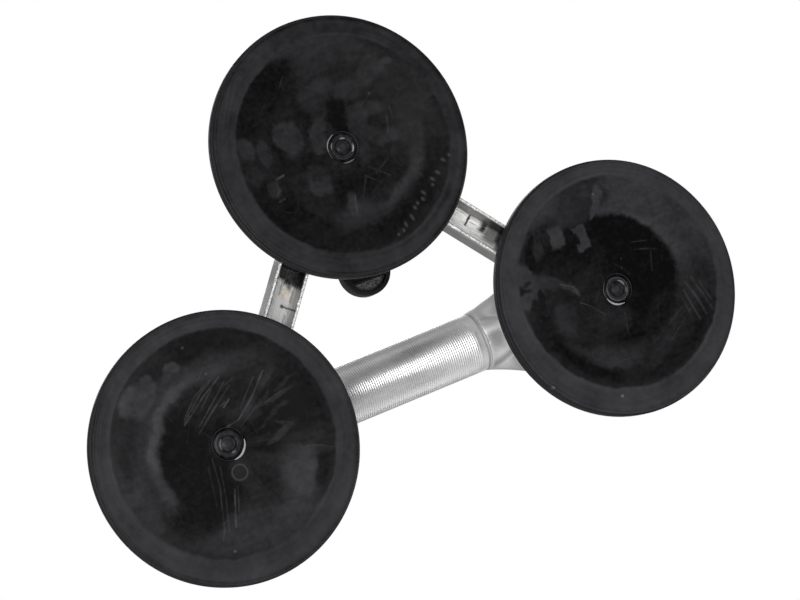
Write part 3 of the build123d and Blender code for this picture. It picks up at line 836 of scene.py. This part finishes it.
# Scratches: a width in millimetres, how bright, and the points of the line.
SCRATCHES = {
    "right": [
        (0.4, 0.5, [(-8, 29.5), (2, 24), (14, 15.5)]), (0.35, 0.4, [(-4, 30), (6, 23.5), (13.5, 16.5)]),
        (0.35, 0.4, [(-1, 29), (6, 25), (13, 18)]), (0.4, 0.5, [(-9, 26.5), (-1, 20), (8, 13)]),
        (0.35, 0.4, [(-11, 24.5), (-2, 18), (9.5, 10)]), (0.35, 0.35, [(-8, 22.5), (3, 15), (9, 10.5)]),
        (0.35, 0.35, [(1, 27), (9, 20)]), (0.35, 0.3, [(-3, 26), (5, 19)]),
        (0.45, 0.6, [(-8.5, 19), (-5, 16.5)]), (0.35, 0.5, [(-6.5, 18.5), (-4, 17.5)]),
        (0.5, 0.5, [(-27, 25), (-18, 16), (-9, 9), (-3, 8.2)]), (0.4, 0.3, [(-22, 24), (-12, 14)]),
        (0.35, 0.3, [(-19, 12), (-9, 6)]), (0.35, 0.25, [(-14, 27), (-5, 24)]),
        (0.6, 0.5, [(4, -18), (7, -26), (9.5, -33)]), (0.45, 0.3, [(2, -17), (6, -28)]),
        (0.35, 0.3, [(8, -2), (9.5, -14), (14, -30), (17, -37)]),
        (0.35, 0.25, [(6, -6), (9, -20), (13, -34)]), (0.35, 0.22, [(11, -5), (14, -22)]),
        (0.4, 0.25, [(-46, -18), (-35, -13), (-30, -12)]), (0.35, 0.25, [(-3, 36), (2, 31)]),
        (0.5, 0.3, [(-31, 14), (-23, 12)]),
    ],
    "left": [
        (0.9, 0.28, [(-36, -9), (-38, -18), (-40, -26)]),
        (0.9, 0.28, [(-32.5, -10), (-35, -20), (-36, -27)]), (0.7, 0.24, [(-30, -13), (-32, -28)]),
        (0.7, 0.2, [(-39, -12), (-41, -22)]), (0.5, 0.22, [(-28, -16), (-29, -27)]),
        (0.4, 0.25, [(-25, 10), (-17, 12.4)]), (0.4, 0.2, [(-22, 10), (-19, 1)]),
        (0.4, 0.2, [(-22, 15), (-14, 17)]), (0.4, 0.3, [(11.5, -9.5), (16, -4), (21, 0)]),
        (0.4, 0.18, [(2, -12), (4, -22)]), (0.4, 0.18, [(-30, -22), (-12, -34)]),
        (0.4, 0.16, [(-26, -20), (-6, -30)]), (0.5, 0.3, [(20, 3), (21.5, 8), (27, 11)]),
        (0.4, 0.3, [(-6.5, 12), (-6.3, 11.4)]), (0.4, 0.3, [(-5.2, 8), (-5, 7.4)]),
    ],
    "front": [
        (0.7, 0.55, [(30, -3.6), (34, -4.4)]), (0.9, 0.5, [(34.5, -9.5), (36.5, -11)]),
        (0.6, 0.5, [(34, -13.6), (37, -14.2)]), (0.4, 0.2, [(-28.8, 10), (-28.2, 4)]),
        (0.5, 0.3, [(-26, 6), (-24, -1)]), (0.4, 0.22, [(-17, -20), (-9, -13)]),
        (0.4, 0.22, [(-20, -12), (-11, -17)]), (0.4, 0.2, [(-12, -22), (-6, -16)]),
        (0.4, 0.22, [(-6, -17), (-1, -25)]), (0.5, 0.25, [(2, -22), (5, -32)]),
        (0.4, 0.25, [(14, 38), (17, 34)]), (0.35, 0.18, [(36, 42), (46, 26)]),
        (0.35, 0.18, [(39, 41), (48, 27)]),
    ],
}
RING_MARK = (-1.0, -12.0, 3.4)
SCRATCH_GLOW, HAIR_GLOW, RING_GLOW, TICK_GLOW = 0.20, 0.02, 0.07, 0.09
# Painted highlights, bright arcs about each button: radius, start and end in degrees, half width, and how
# bright.
GLINTS = {
    "right": [
        (7.5, 184, 270, 0.62, 1.0), (3.5, 330, 420, 0.75, 0.45), (5.6, 320, 440, 0.45, 0.16),
        (5.6, 80, 320, 0.3, 0.07), (4.3, 240, 268, 0.7, 0.22), (7.1, 270, 530, 0.3, 0.06),
    ],
    "left": [
        (7.1, 262, 342, 0.62, 1.0), (7.0, 330, 410, 0.35, 0.22), (4.0, 112, 176, 0.55, 0.4),
        (5.4, 20, 380, 0.4, 0.14), (5.4, 280, 400, 0.4, 0.14), (4.6, 190, 222, 0.8, 0.18),
        (7.1, 60, 250, 0.3, 0.05),
    ],
    "front": [
        (7.2, 0, 74, 0.45, 0.55), (7.1, 330, 380, 0.3, 0.2), (7.4, 244, 290, 0.4, 0.35),
        (4.9, 180, 232, 0.45, 0.75), (4.0, 86, 126, 0.5, 0.5), (5.4, 5, 40, 0.4, 0.35),
        (5.6, 60, 360, 0.3, 0.06), (7.1, 74, 244, 0.3, 0.05),
    ],
}
# Short moulded ticks, x, y and length, then dust specks, x, y and how bright.
TICKS = [
    (-42, -22, 2.2), (-37.5, -26.5, 2.6), (-34, -28.5, 2.4), (-33, -31, 1.6), (-27.5, -33, 2.6),
    (-26, -35.5, 2.0), (-23, -36.5, 1.6), (-21, -38, 2.0), (-18, -41.5, 3.2), (-14, -43.5, 2.6),
    (-12, -45.5, 1.8), (-9, -46.5, 1.4),
]
SPECKS = {
    "right": [
        (14, -42.5, 0.14), (2.5, 47, 0.1), (-3, 33, 0.08),
    ],
    "left": [
        (19.5, -47, 0.34), (49.5, -31, 0.25), (-5, 44, 0.12),
    ],
    "front": [
        (-22, 18, 0.08), (-45.5, -21, 0.12),
    ],
}


def place_marks(dust_and_sheen, xy, marks):
    """Lays each mark's film over what is there."""
    shapes = {"arc": arc, "slab": slab}
    for *sizes, light in marks:
        shape = shapes[sizes.pop(0)] if sizes[0] in shapes else blob
        dust_and_sheen += (light - dust_and_sheen) * shape(xy, *sizes)
    return dust_and_sheen


def paint_pad(thing, head, reach):
    """Paints a pad's dust film with its painted highlights and painted reflection, its scratches with
    painted glints, and its glossy button. Reach is each point's radius on the pad as it was moulded, before
    its rings were shifted."""
    points = points_of(thing)
    xy = points[:, :2] - CENTRE[head]
    seed = 10 * HEADS.index(head)
    angle = np.arctan2(xy[:, 1], xy[:, 0])
    warp = np.stack([fractal(xy + 200, 9, seed + k) - 0.5 for k in (1, 5)], axis=1)
    fine_warp = np.stack([fractal(xy + 300, 2.2, seed + k) - 0.5 for k in (31, 35)], axis=1)
    moved = xy + 4.5 * warp + 1.8 * fine_warp
    dust_and_sheen = place_marks(np.full(len(xy), 0.2), moved, MARKS[head])
    cloud = fractal(xy + 200, 5, seed + 13) - 0.5
    sweep = fractal(np.stack([reach * 0.55, angle * 2.2], axis=1) + 80, 2.0, seed + 15) - 0.5
    brushed = fractal(np.stack([xy[:, 0] * 0.25, xy[:, 1] * 1.3], axis=1) + 90, 2.0, seed + 17) - 0.5
    speckle = fractal(xy + 250, 1.5, seed + 51, 3) - 0.5
    dust_and_sheen += (0.05 + 0.45 * dust_and_sheen) * (0.9 * cloud + 0.8 * sweep + 0.8 * brushed + 0.8 * speckle)
    for x, y, half_x, half_y, turn in PRINTS[head]:
        c, s = math.cos(math.radians(turn)), math.sin(math.radians(turn))
        across = (xy[:, 0] - x) * c + (xy[:, 1] - y) * s
        ridges = np.sin((across + 2.5 * warp[:, 0]) * 2 * math.pi / 1.15)
        dust_and_sheen += 0.045 * ridges * blob(moved, x, y, half_x, half_y, 0, 0.3)
    if head == "right":
        fan = fractal(np.stack([angle * 16, reach * 0.05], axis=1) + 60, 1.6, seed + 19) - 0.5
        dust_and_sheen += 0.42 * (fan - 0.08) * blob(xy, -26, 6, 17, 22, 0, 0.5)
        dust_and_sheen += 0.16 * fan * blob(xy, -8, -28, 22, 14, 0, 0.5)
    rings = fractal(np.stack([reach, angle * 1.5], axis=1) + 100, 1.1, seed + 21) - 0.5
    wide_rings = fractal(np.stack([reach, angle * 0.8], axis=1) + 140, 3.2, seed + 23) - 0.5
    rings = 0.20 * rings + 0.24 * wide_rings
    edge = reach + 1.6 * warp[:, 0] + 0.8 * fine_warp[:, 1]
    band = smooth(SEAL_INNER - 1.2, SEAL_INNER + 0.4, edge)
    patch = 0.45 * (fractal(xy + 200, 13, seed + 25) - 0.5)
    patch += 0.22 * (fractal(xy + 200, 3.0, seed + 27) - 0.5)
    dust_and_sheen += (BAND_FILM[head] + patch + rings - dust_and_sheen) * band
    # A thin lighter line on the step at the band's inner edge: a painted highlight.
    lip = 1 - smooth(0.2, 0.8, np.abs(reach - SEAL_INNER - 0.4))
    broken = fractal(np.stack([angle * 3, reach * 0], axis=1) + 50, 1.5, seed + 29)
    dust_and_sheen += 0.10 * lip * smooth(0.4, 0.7, broken)
    dust_and_sheen -= 0.15 * (1 - smooth(0.15, 0.5, np.abs(reach - SEAL_OUTER + 0.7)))
    # The button's ring and middle are painted lighter than its moat: a painted reflection.
    button = 1 - smooth(MOAT - 0.1, MOAT + 0.3, reach)
    ring = smooth(3.3, 3.9, reach) * (1 - smooth(RING + 0.3, RING + 0.6, reach))
    middle = 0.26 * (1 - smooth(2.9, 3.4, reach)) + 0.22 * (1 - smooth(0.6, 1.9, np.hypot(reach - 0.4, 0.5)))
    dust_and_sheen += (0.10 + 0.28 * ring + middle + 0.5 * speckle - dust_and_sheen) * button
    side = smooth(1.2, 2.0, points[:, 2]) * smooth(SEAL_OUTER - 0.5, SEAL_OUTER, reach)
    streaked = fractal(np.stack([angle * 20, points[:, 2]], axis=1) + 99, 3, seed + 33) - 0.5
    dust_and_sheen += (0.34 + 0.2 * streaked - dust_and_sheen) * side
    paint(thing, "dust_and_sheen", np.clip(dust_and_sheen, 0, 1))
    paint_scratches_and_glints(thing, head, points, xy + 0.5 * warp, seed)
    face = points[:, 2] < PAD_TOP - 1
    paint(thing, "gloss", (1 - smooth(MOAT_LIP + 0.5, MOAT_LIP + 1.5, reach)) * face)


def paint_scratches_and_glints(thing, head, points, xy, seed):
    """Paints a pad's scratches and specks, and the painted highlights about its button."""
    scratch_and_glint = np.zeros(len(xy))
    wear_and_highlight = 0.45 + 0.55 * smooth(0.35, 0.6, fractal(xy + 400, 3.0, seed + 41))
    for width, bright, line in SCRATCHES[head]:
        scratch_and_glint = np.maximum(scratch_and_glint, SCRATCH_GLOW * bright * stroke(xy, line, width) * wear_and_highlight)
    rng = np.random.default_rng(seed + 47)
    for _ in range(16):
        start = rng.uniform(-38, 38, 2)
        turn = rng.uniform(0, math.pi)
        line = [start]
        for _ in range(3):
            turn += rng.uniform(-0.35, 0.35)
            line.append(line[-1] + rng.uniform(1.0, 4.5) * np.array([math.cos(turn), math.sin(turn)]))
        scratch_and_glint = np.maximum(scratch_and_glint, HAIR_GLOW * stroke(xy, line, 0.35) * wear_and_highlight)
    if head == "right":
        x, y, radius = RING_MARK
        away = np.abs(np.hypot(xy[:, 0] - x, xy[:, 1] - y) - radius)
        scratch_and_glint = np.maximum(scratch_and_glint, RING_GLOW * (1 - smooth(0.15, 0.6, away)))
    if head == "front":
        for x, y, length in TICKS:
            turn = math.degrees(math.atan2(y, x)) + 12
            scratch_and_glint = np.maximum(scratch_and_glint, TICK_GLOW * blob(xy, x, y, length / 2, 0.65, turn, 0.6))
    for x, y, bright in SPECKS[head]:
        scratch_and_glint = np.maximum(scratch_and_glint, bright * blob(xy, x, y, 0.55, 0.55, 0, 0.5))
    # Painted highlights: bright arcs about the button.
    x, y = BUTTON_SHIFT[head]
    for radius, start, end, width, bright in GLINTS[head]:
        scratch_and_glint = np.maximum(scratch_and_glint, bright * crescent(xy, x, y, radius, start, end, width))
    face = points[:, 2] < PAD_TOP - 1
    paint(thing, "scratch_and_glint", scratch_and_glint * face)


def make_pad(head, material):
    """A rubber pad with its moulded rings and slightly uneven skin."""
    origin = (*CENTRE[head], 0.0)
    pad = lathe("pad_" + head, pad_outline(LIFT[head]), origin, "z", SEGMENTS)
    points = points_of(pad)
    xy = points[:, :2] - CENTRE[head]
    reach = np.hypot(xy[:, 0], xy[:, 1])
    seed = 70 + HEADS.index(head)
    face = points[:, 2] < PAD_TOP - 1
    dish = smooth(9, 14, reach) * (1 - smooth(SEAL_INNER - 6, SEAL_INNER - 2, reach))
    wave = 0.35 * (fractal(xy + 200, 26, seed, 2) - 0.5) + 0.06 * (fractal(xy + 200, 6, seed + 5, 2) - 0.5)
    points[:, 2] += wave * dish * face
    band = smooth(SEAL_INNER, SEAL_INNER + 1, reach) * (1 - smooth(SEAL_OUTER - 1, SEAL_OUTER - 0.2, reach))
    points[:, 2] += 0.012 * (1 + np.sin(reach * 3.3)) * band * (points[:, 2] < 0.3)
    inner = (1 - smooth(10, 30, reach)) * face
    outer = smooth(22, 46, reach) * (1 - smooth(51, 57, reach)) * face
    points[:, :2] += inner[:, None] * BUTTON_SHIFT[head] + outer[:, None] * DISH_SHIFT[head]
    set_points(pad, points)
    paint_pad(pad, head, reach)
    sharpen(pad, 50)
    material.give(pad)
    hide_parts("suction_pad_" + head)
    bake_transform(pad)


# ---------------------------------------------------------------- grip

RIB_PITCH = 1.114
RIB_DEPTH = 0.28
RIBBED_HALF = 44.5
# One rib: how far along its pitch, and which share of its depth.
RIB_PROFILE = ((0.0, 1.0), (0.2, 0.42), (0.5, 0.0), (0.8, 0.42))
GRIP_SEGMENTS = 176
GRIP_RADIUS = 14.3
BEAD_RADIUS = 14.5
BEAD_START = 46.9
GRIP_HALF = 47.95
TUBE_END = 10.0
TUBE_BORE = 8.0


def make_grip(material):
    """The ribbed tube with an end bead at each side."""
    reach = GRIP_HIGH[0]
    half = []
    count = int(RIBBED_HALF / RIB_PITCH)
    for rib in range(count):
        low = rib * RIB_PITCH
        fade = float(1 - smooth(RIBBED_HALF - 5, RIBBED_HALF, low))
        for share, depth in RIB_PROFILE:
            half.append((low + share * RIB_PITCH, GRIP_RADIUS - RIB_DEPTH * depth * fade))
    ends = rounded(
        [
            (RIBBED_HALF + 0.2, GRIP_RADIUS),
            (BEAD_START - 0.6, GRIP_RADIUS),
            (BEAD_START - 0.3, GRIP_RADIUS - 0.15),
            (BEAD_START, GRIP_RADIUS - 0.1),
            (BEAD_START + 0.35, BEAD_RADIUS),
            (GRIP_HALF, BEAD_RADIUS),
            (GRIP_HALF, TUBE_END),
            (reach, TUBE_END),
            (reach, TUBE_BORE),
            (0, TUBE_BORE),
        ],
        0.35,
    )
    ends = np.vstack([ends[:-1], divided(ends[-2:], 8)[1:]])
    right = np.vstack([np.array(half), ends])
    left = right[::-1] * (-1, 1)
    outline = np.vstack([right, left[1:-1]])
    outline = outline[:, ::-1]
    grip = lathe("grip", outline, (0.0, GRIP_Y, GRIP_Z), "x", GRIP_SEGMENTS)
    sharpen(grip, 34)
    material.give(grip)
    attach(grip, "frame")
    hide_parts("grip_tube")


# ---------------------------------------------------------------- frame casting

def arm_place(points, side):
    """How far along an arm each point is, and how far across it."""
    start, direction, normal = arm_axes(side)
    return (points - start) @ direction, (points - start) @ normal


FILLET = 2.4
FRAME_VOXEL = 0.6


def refine(thing, chosen):
    """Splits the faces whose corners are all chosen, once."""
    mesh = thing.data
    work = bmesh.new()
    work.from_mesh(mesh)
    work.verts.ensure_lookup_table()
    edges = [e for e in work.edges if chosen[e.verts[0].index] and chosen[e.verts[1].index]]
    bmesh.ops.subdivide_edges(work, edges=edges, cuts=1, use_grid_fill=True)
    bmesh.ops.triangulate(work, faces=[f for f in work.faces if len(f.verts) > 4])
    work.to_mesh(mesh)
    work.free()
    mesh.shade_smooth()


def in_channel(points, side):
    """1 at the points inside an arm's channel or on its lips."""
    along, across = arm_place(points, side)
    reach = smooth(SHOWN_START, 57, along) * (1 - smooth(86, SHOWN_END, along))
    return reach * (np.abs(across) < ARM_HALF + 0.3) * (points[:, 2] < ARM_ROOF + 0.7)


def hollow_wings(shell, points):
    """Sets back the underside of each leg beside its round middle, which leaves two thin wings."""
    normals = np.empty(len(points) * 3)
    shell.data.vertices.foreach_get("normal", normals)
    under = smooth(0.05, 0.5, -normals.reshape(-1, 3)[:, 2])
    out = np.abs(points[:, 0]) - GRIP_HALF
    reach = smooth(0.5, 6, out) * (1 - smooth(22, 27, out)) * (points[:, 2] > 30)
    across = points[:, 1] - GRIP_Y
    front = smooth(-0.8, 1.6, across - (10.0 - 0.26 * out))
    back = smooth(-0.8, 1.6, -across - (14.0 - 0.28 * out))
    points[:, 2] += 1.5 * np.maximum(front, back) * under * reach
    points[:, 2] -= 0.3 * np.exp(-((across - 3.2) / 1.4) ** 2) * under * reach
    return points


def make_frame(material):
    """The casting: its corners softened all over, and the arms' channels left rough."""
    shell = with_modifiers(
        "frame_shell",
        "frame_casting",
        ("REMESH", {"mode": "VOXEL", "voxel_size": FRAME_VOXEL * MM}),
        ("SMOOTH", {"factor": 0.5, "iterations": 3}),
        ("DECIMATE", {"ratio": 0.25}),
    )
    points = points_of(shell)
    refine(shell, (in_channel(points, 1) + in_channel(points, -1)) > 0)
    points = points_of(shell)
    for side in (1, -1):
        along, across = arm_place(points, side)
        seed = 50 + side
        inside = in_channel(points, side)
        floor = inside * (np.abs(across) < CHANNEL_HALF + 0.2)
        floor *= smooth(ARM_ROOF - 4, ARM_ROOF - 1, points[:, 2])
        fillet = np.clip(np.abs(across) - CHANNEL_HALF + FILLET, 0, FILLET)
        points[:, 2] -= floor * (FILLET - np.sqrt(FILLET ** 2 - fillet ** 2 + 1e-9)) * 0.9
        place = np.stack([along * 0.25, across, points[:, 2]], axis=1) + 100
        points[:, 2] += 0.8 * (fractal(place, 1.6, seed) - 0.5) * floor
        lip = inside * (1 - smooth(ARM_BOTTOM, ARM_BOTTOM + 0.9, points[:, 2]))
        jag = fractal(np.stack([along, across * 0.4], axis=1) + 100, 1.4, seed + 5)
        points[:, 2] += 0.35 * smooth(0.5, 0.8, jag) * lip
        crest = (np.abs(across) - (CHANNEL_HALF + ARM_HALF) / 2) / (ARM_HALF - CHANNEL_HALF) * 2
        points[:, 2] += 0.6 * np.clip(crest, -1, 1) ** 2 * lip
    set_points(shell, hollow_wings(shell, points))
    material.give(shell)
    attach(shell, "frame")
    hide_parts("frame_casting")


# ---------------------------------------------------------------- levers, springs and small parts

PIN_HEIGHT = 33.5
LEVER_TIP = 55.0
LEVER_VOXEL = 0.35


def make_lever(head, material):
    """A plastic lever with its moulded edges rounded."""
    lever = with_modifiers(
        "lever_" + head,
        "cam_lever_" + head,
        ("REMESH", {"mode": "VOXEL", "voxel_size": LEVER_VOXEL * MM}),
        ("SMOOTH", {"factor": 0.5, "iterations": 4}),
        ("DECIMATE", {"ratio": 0.5}),
    )
    points = points_of(lever)
    pin = PIN_HEIGHT + LIFT[head]
    if head == "front":
        reach, side, height = CENTRE[head][1] - points[:, 1], points[:, 0], points[:, 2] - pin
    else:
        out = math.copysign(1, CENTRE[head][0])
        reach, side = points[:, 2] - pin, points[:, 1] - CENTRE[head][1]
        height = -out * (points[:, 0] - CENTRE[head][0])
    pocket = 1 - smooth(0.35, 0.6, np.abs(height - 0.5))
    paint(lever, "dust", pocket * (1 - smooth(7.6, 9.9, np.hypot(reach - LEVER_TIP, side))))
    material.give(lever)
    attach(lever, "lever_" + head)
    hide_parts("cam_lever_" + head)


SPRING_TURNS = 2.5
WIRE = 0.6
COIL_STEPS, WIRE_SIDES = 120, 12


def make_spring(head, material):
    """A coil of round wire."""
    low, high = box_mm("return_spring_" + head)
    x, y = CENTRE[head]
    radius = (high[0] - low[0]) / 2 - WIRE
    start, end = low[2] + WIRE, high[2] - WIRE
    steps, sides = COIL_STEPS, WIRE_SIDES
    points, faces = [], []
    for step in range(steps + 1):
        share = step / steps
        turn = share * SPRING_TURNS * 2 * math.pi
        out = Vector((math.cos(turn), math.sin(turn), 0))
        middle = Vector((x, y, start + share * (end - start))) + out * radius
        for side in range(sides):
            around = side / sides * 2 * math.pi
            rise = Vector((0, 0, WIRE * math.sin(around)))
            points.append(middle + out * (WIRE * math.cos(around)) + rise)
    for step in range(steps):
        for side in range(sides):
            a, b = step * sides + side, step * sides + (side + 1) % sides
            faces.append((a, b, b + sides, a + sides))
    faces.append(tuple(range(sides)))
    faces.append(tuple(range(steps * sides, (steps + 1) * sides))[::-1])
    coil = mesh_object("spring_" + head, [tuple(p) for p in points], faces)
    outward(coil)
    sharpen(coil, 50)
    material.give(coil)
    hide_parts("return_spring_" + head)
    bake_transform(coil)


# ---------------------------------------------------------------- stage, lights and camera

FLOOR_HALF = 3.0
FLOOR_DROP = 0.0004
WORLD_LIGHT = 0.30
LIGHT_TARGET = (0, -0.02, 0.03)


def make_floor():
    """A plain pale floor that shows only from above, so the pads can be seen from below."""
    size = FLOOR_HALF
    mesh = bpy.data.meshes.new("floor")
    corners = [(-size, -size, 0), (size, -size, 0), (size, size, 0), (-size, size, 0)]
    mesh.from_pydata(corners, [], [(0, 1, 2, 3)])
    floor = bpy.data.objects.new("floor", mesh)
    floor.location.z = -FLOOR_DROP
    bpy.context.scene.collection.objects.link(floor)
    s = Shader("floor", Roughness=0.9)
    s.set("Base Color", s.mix(s.vary(s.noise(6), 0, 1), (0.74, 0.74, 0.74), (0.78, 0.78, 0.78)))
    clear = s.node("ShaderNodeBsdfTransparent").outputs[0]
    back = s.node("ShaderNodeNewGeometry").outputs["Backfacing"]
    either = s.node("ShaderNodeMixShader")
    s.put(either.inputs[0], back)
    s.put(either.inputs[1], s.bsdf.outputs[0])
    s.put(either.inputs[2], clear)
    s.put(s.tree.nodes["Material Output"].inputs["Surface"], either.outputs[0])
    floor.data.materials.append(s.material)
    floor.visible_diffuse = False
    floor.visible_glossy = False
    floor.visible_transmission = False
    floor.visible_shadow = False


def area_light(name, place, target, size, power):
    """A soft square light aimed at a point."""
    data = bpy.data.lights.new(name, "AREA")
    data.shape = "SQUARE"
    data.size = size
    data.energy = power
    lamp = bpy.data.objects.new(name, data)
    lamp.location = place
    lamp.rotation_mode = "QUATERNION"
    lamp.rotation_quaternion = (Vector(target) - Vector(place)).to_track_quat("-Z", "Y")
    bpy.context.scene.collection.objects.link(lamp)


def area_power(radiance, size):
    """Watts that give a square light of a side length its radiance."""
    return radiance * math.pi * size ** 2


def make_lights():
    """Surroundings that are white to the camera and light the object softly, and lights all round."""
    scene = bpy.context.scene
    world = bpy.data.worlds.new("studio")
    scene.world = world
    world.use_nodes = True
    nodes, links = world.node_tree.nodes, world.node_tree.links
    back = nodes["Background"]
    back.inputs["Color"].default_value = (1, 1, 1, 1)
    seen = nodes.new("ShaderNodeLightPath")
    strength = nodes.new("ShaderNodeMapRange")
    strength.inputs["To Min"].default_value = WORLD_LIGHT
    strength.inputs["To Max"].default_value = 1.0
    links.new(seen.outputs["Is Camera Ray"], strength.inputs["Value"])
    links.new(strength.outputs["Result"], back.inputs["Strength"])
    for name, place, size, radiance in LIGHTS:
        area_light(name, place, LIGHT_TARGET, size, area_power(radiance, size))
    scene.view_settings.view_transform = "Standard"


# Lights: name, place and side length in metres, and radiance.
LIGHTS = (
    ("key", (-0.3, 0.3, 1.3), 0.8, 2.2),
    ("fill", (-0.9, -0.3, 0.8), 1.0, 1.4),
    ("low_soft", (0.38, 0.03, -1.14), 0.55, 8.4),
    ("low_glow", (0.43, 0.03, -1.14), 1.1, 0.5),
    ("low_wide", (0.0, -1.0, -0.85), 1.0, 0.95),
    ("low_side", (0.0, -1.3, 0.1), 1.0, 0.7),
    ("back_side", (0.0, 1.2, -0.3), 1.2, 0.36),
)
# The camera, from a fit to the three pads' outlines in the photograph.
PHOTO_AZIMUTH = 88.06
PHOTO_ELEVATION = -70.73
PHOTO_ROLL = 113.72
PHOTO_DISTANCE = 0.9393
PHOTO_TARGET = (0.0023, -0.0212, 0.0)
PHOTO_LENS = 94.81


def make_camera():
    """The camera below the pads, turned as the photograph is."""
    a, e = math.radians(PHOTO_AZIMUTH), math.radians(PHOTO_ELEVATION)
    back = Vector((math.sin(a) * math.cos(e), -math.cos(a) * math.cos(e), math.sin(e)))
    data = bpy.data.cameras.new("camera")
    data.lens = PHOTO_LENS
    camera = bpy.data.objects.new("camera", data)
    camera.location = Vector(PHOTO_TARGET) + back * PHOTO_DISTANCE
    camera.rotation_mode = "QUATERNION"
    roll = Quaternion((0, 0, 1), -math.radians(PHOTO_ROLL))
    camera.rotation_quaternion = (-back).to_track_quat("-Z", "Y") @ roll
    bpy.context.scene.collection.objects.link(camera)
    bpy.context.scene.camera = camera


# ---------------------------------------------------------------- everything together

make_camera()
make_lights()
make_floor()

pad_rubber = rubber()
casting = cast_aluminium()
turned = ribbed_aluminium()
dark, light = (0.003, 0.003, 0.0032), (0.007, 0.007, 0.0073)
lever_plastic = moulded_plastic("lever_plastic", dark, light, 0.34, 0.46, dusty=True)
bush_plastic = moulded_plastic("bush_plastic", (0.66, 0.64, 0.58), (0.76, 0.74, 0.68), 0.42, 0.52)
wear_plastic = moulded_plastic("wear_plastic", (0.05, 0.05, 0.05), (0.09, 0.09, 0.09), 0.45, 0.58)
zinc = steel("stud_steel", (0.60, 0.61, 0.60), (0.70, 0.70, 0.67), 0.26, 0.38)
ground = steel("pin_steel", (0.66, 0.66, 0.67), (0.76, 0.76, 0.77), 0.16, 0.26)
wire = steel("spring_steel", (0.40, 0.40, 0.41), (0.52, 0.52, 0.53), 0.26, 0.36)

make_frame(casting)
make_grip(turned)
for head in HEADS:
    make_pad(head, pad_rubber)
    make_lever(head, lever_plastic)
    make_spring(head, wire)
    zinc.give(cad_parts["pull_stud_" + head])
    ground.give(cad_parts["pivot_pin_" + head])
    bush_plastic.give(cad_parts["guide_bush_" + head])
    wear_plastic.give(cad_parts["wear_plate_" + head])

bpy.context.view_layer.update()
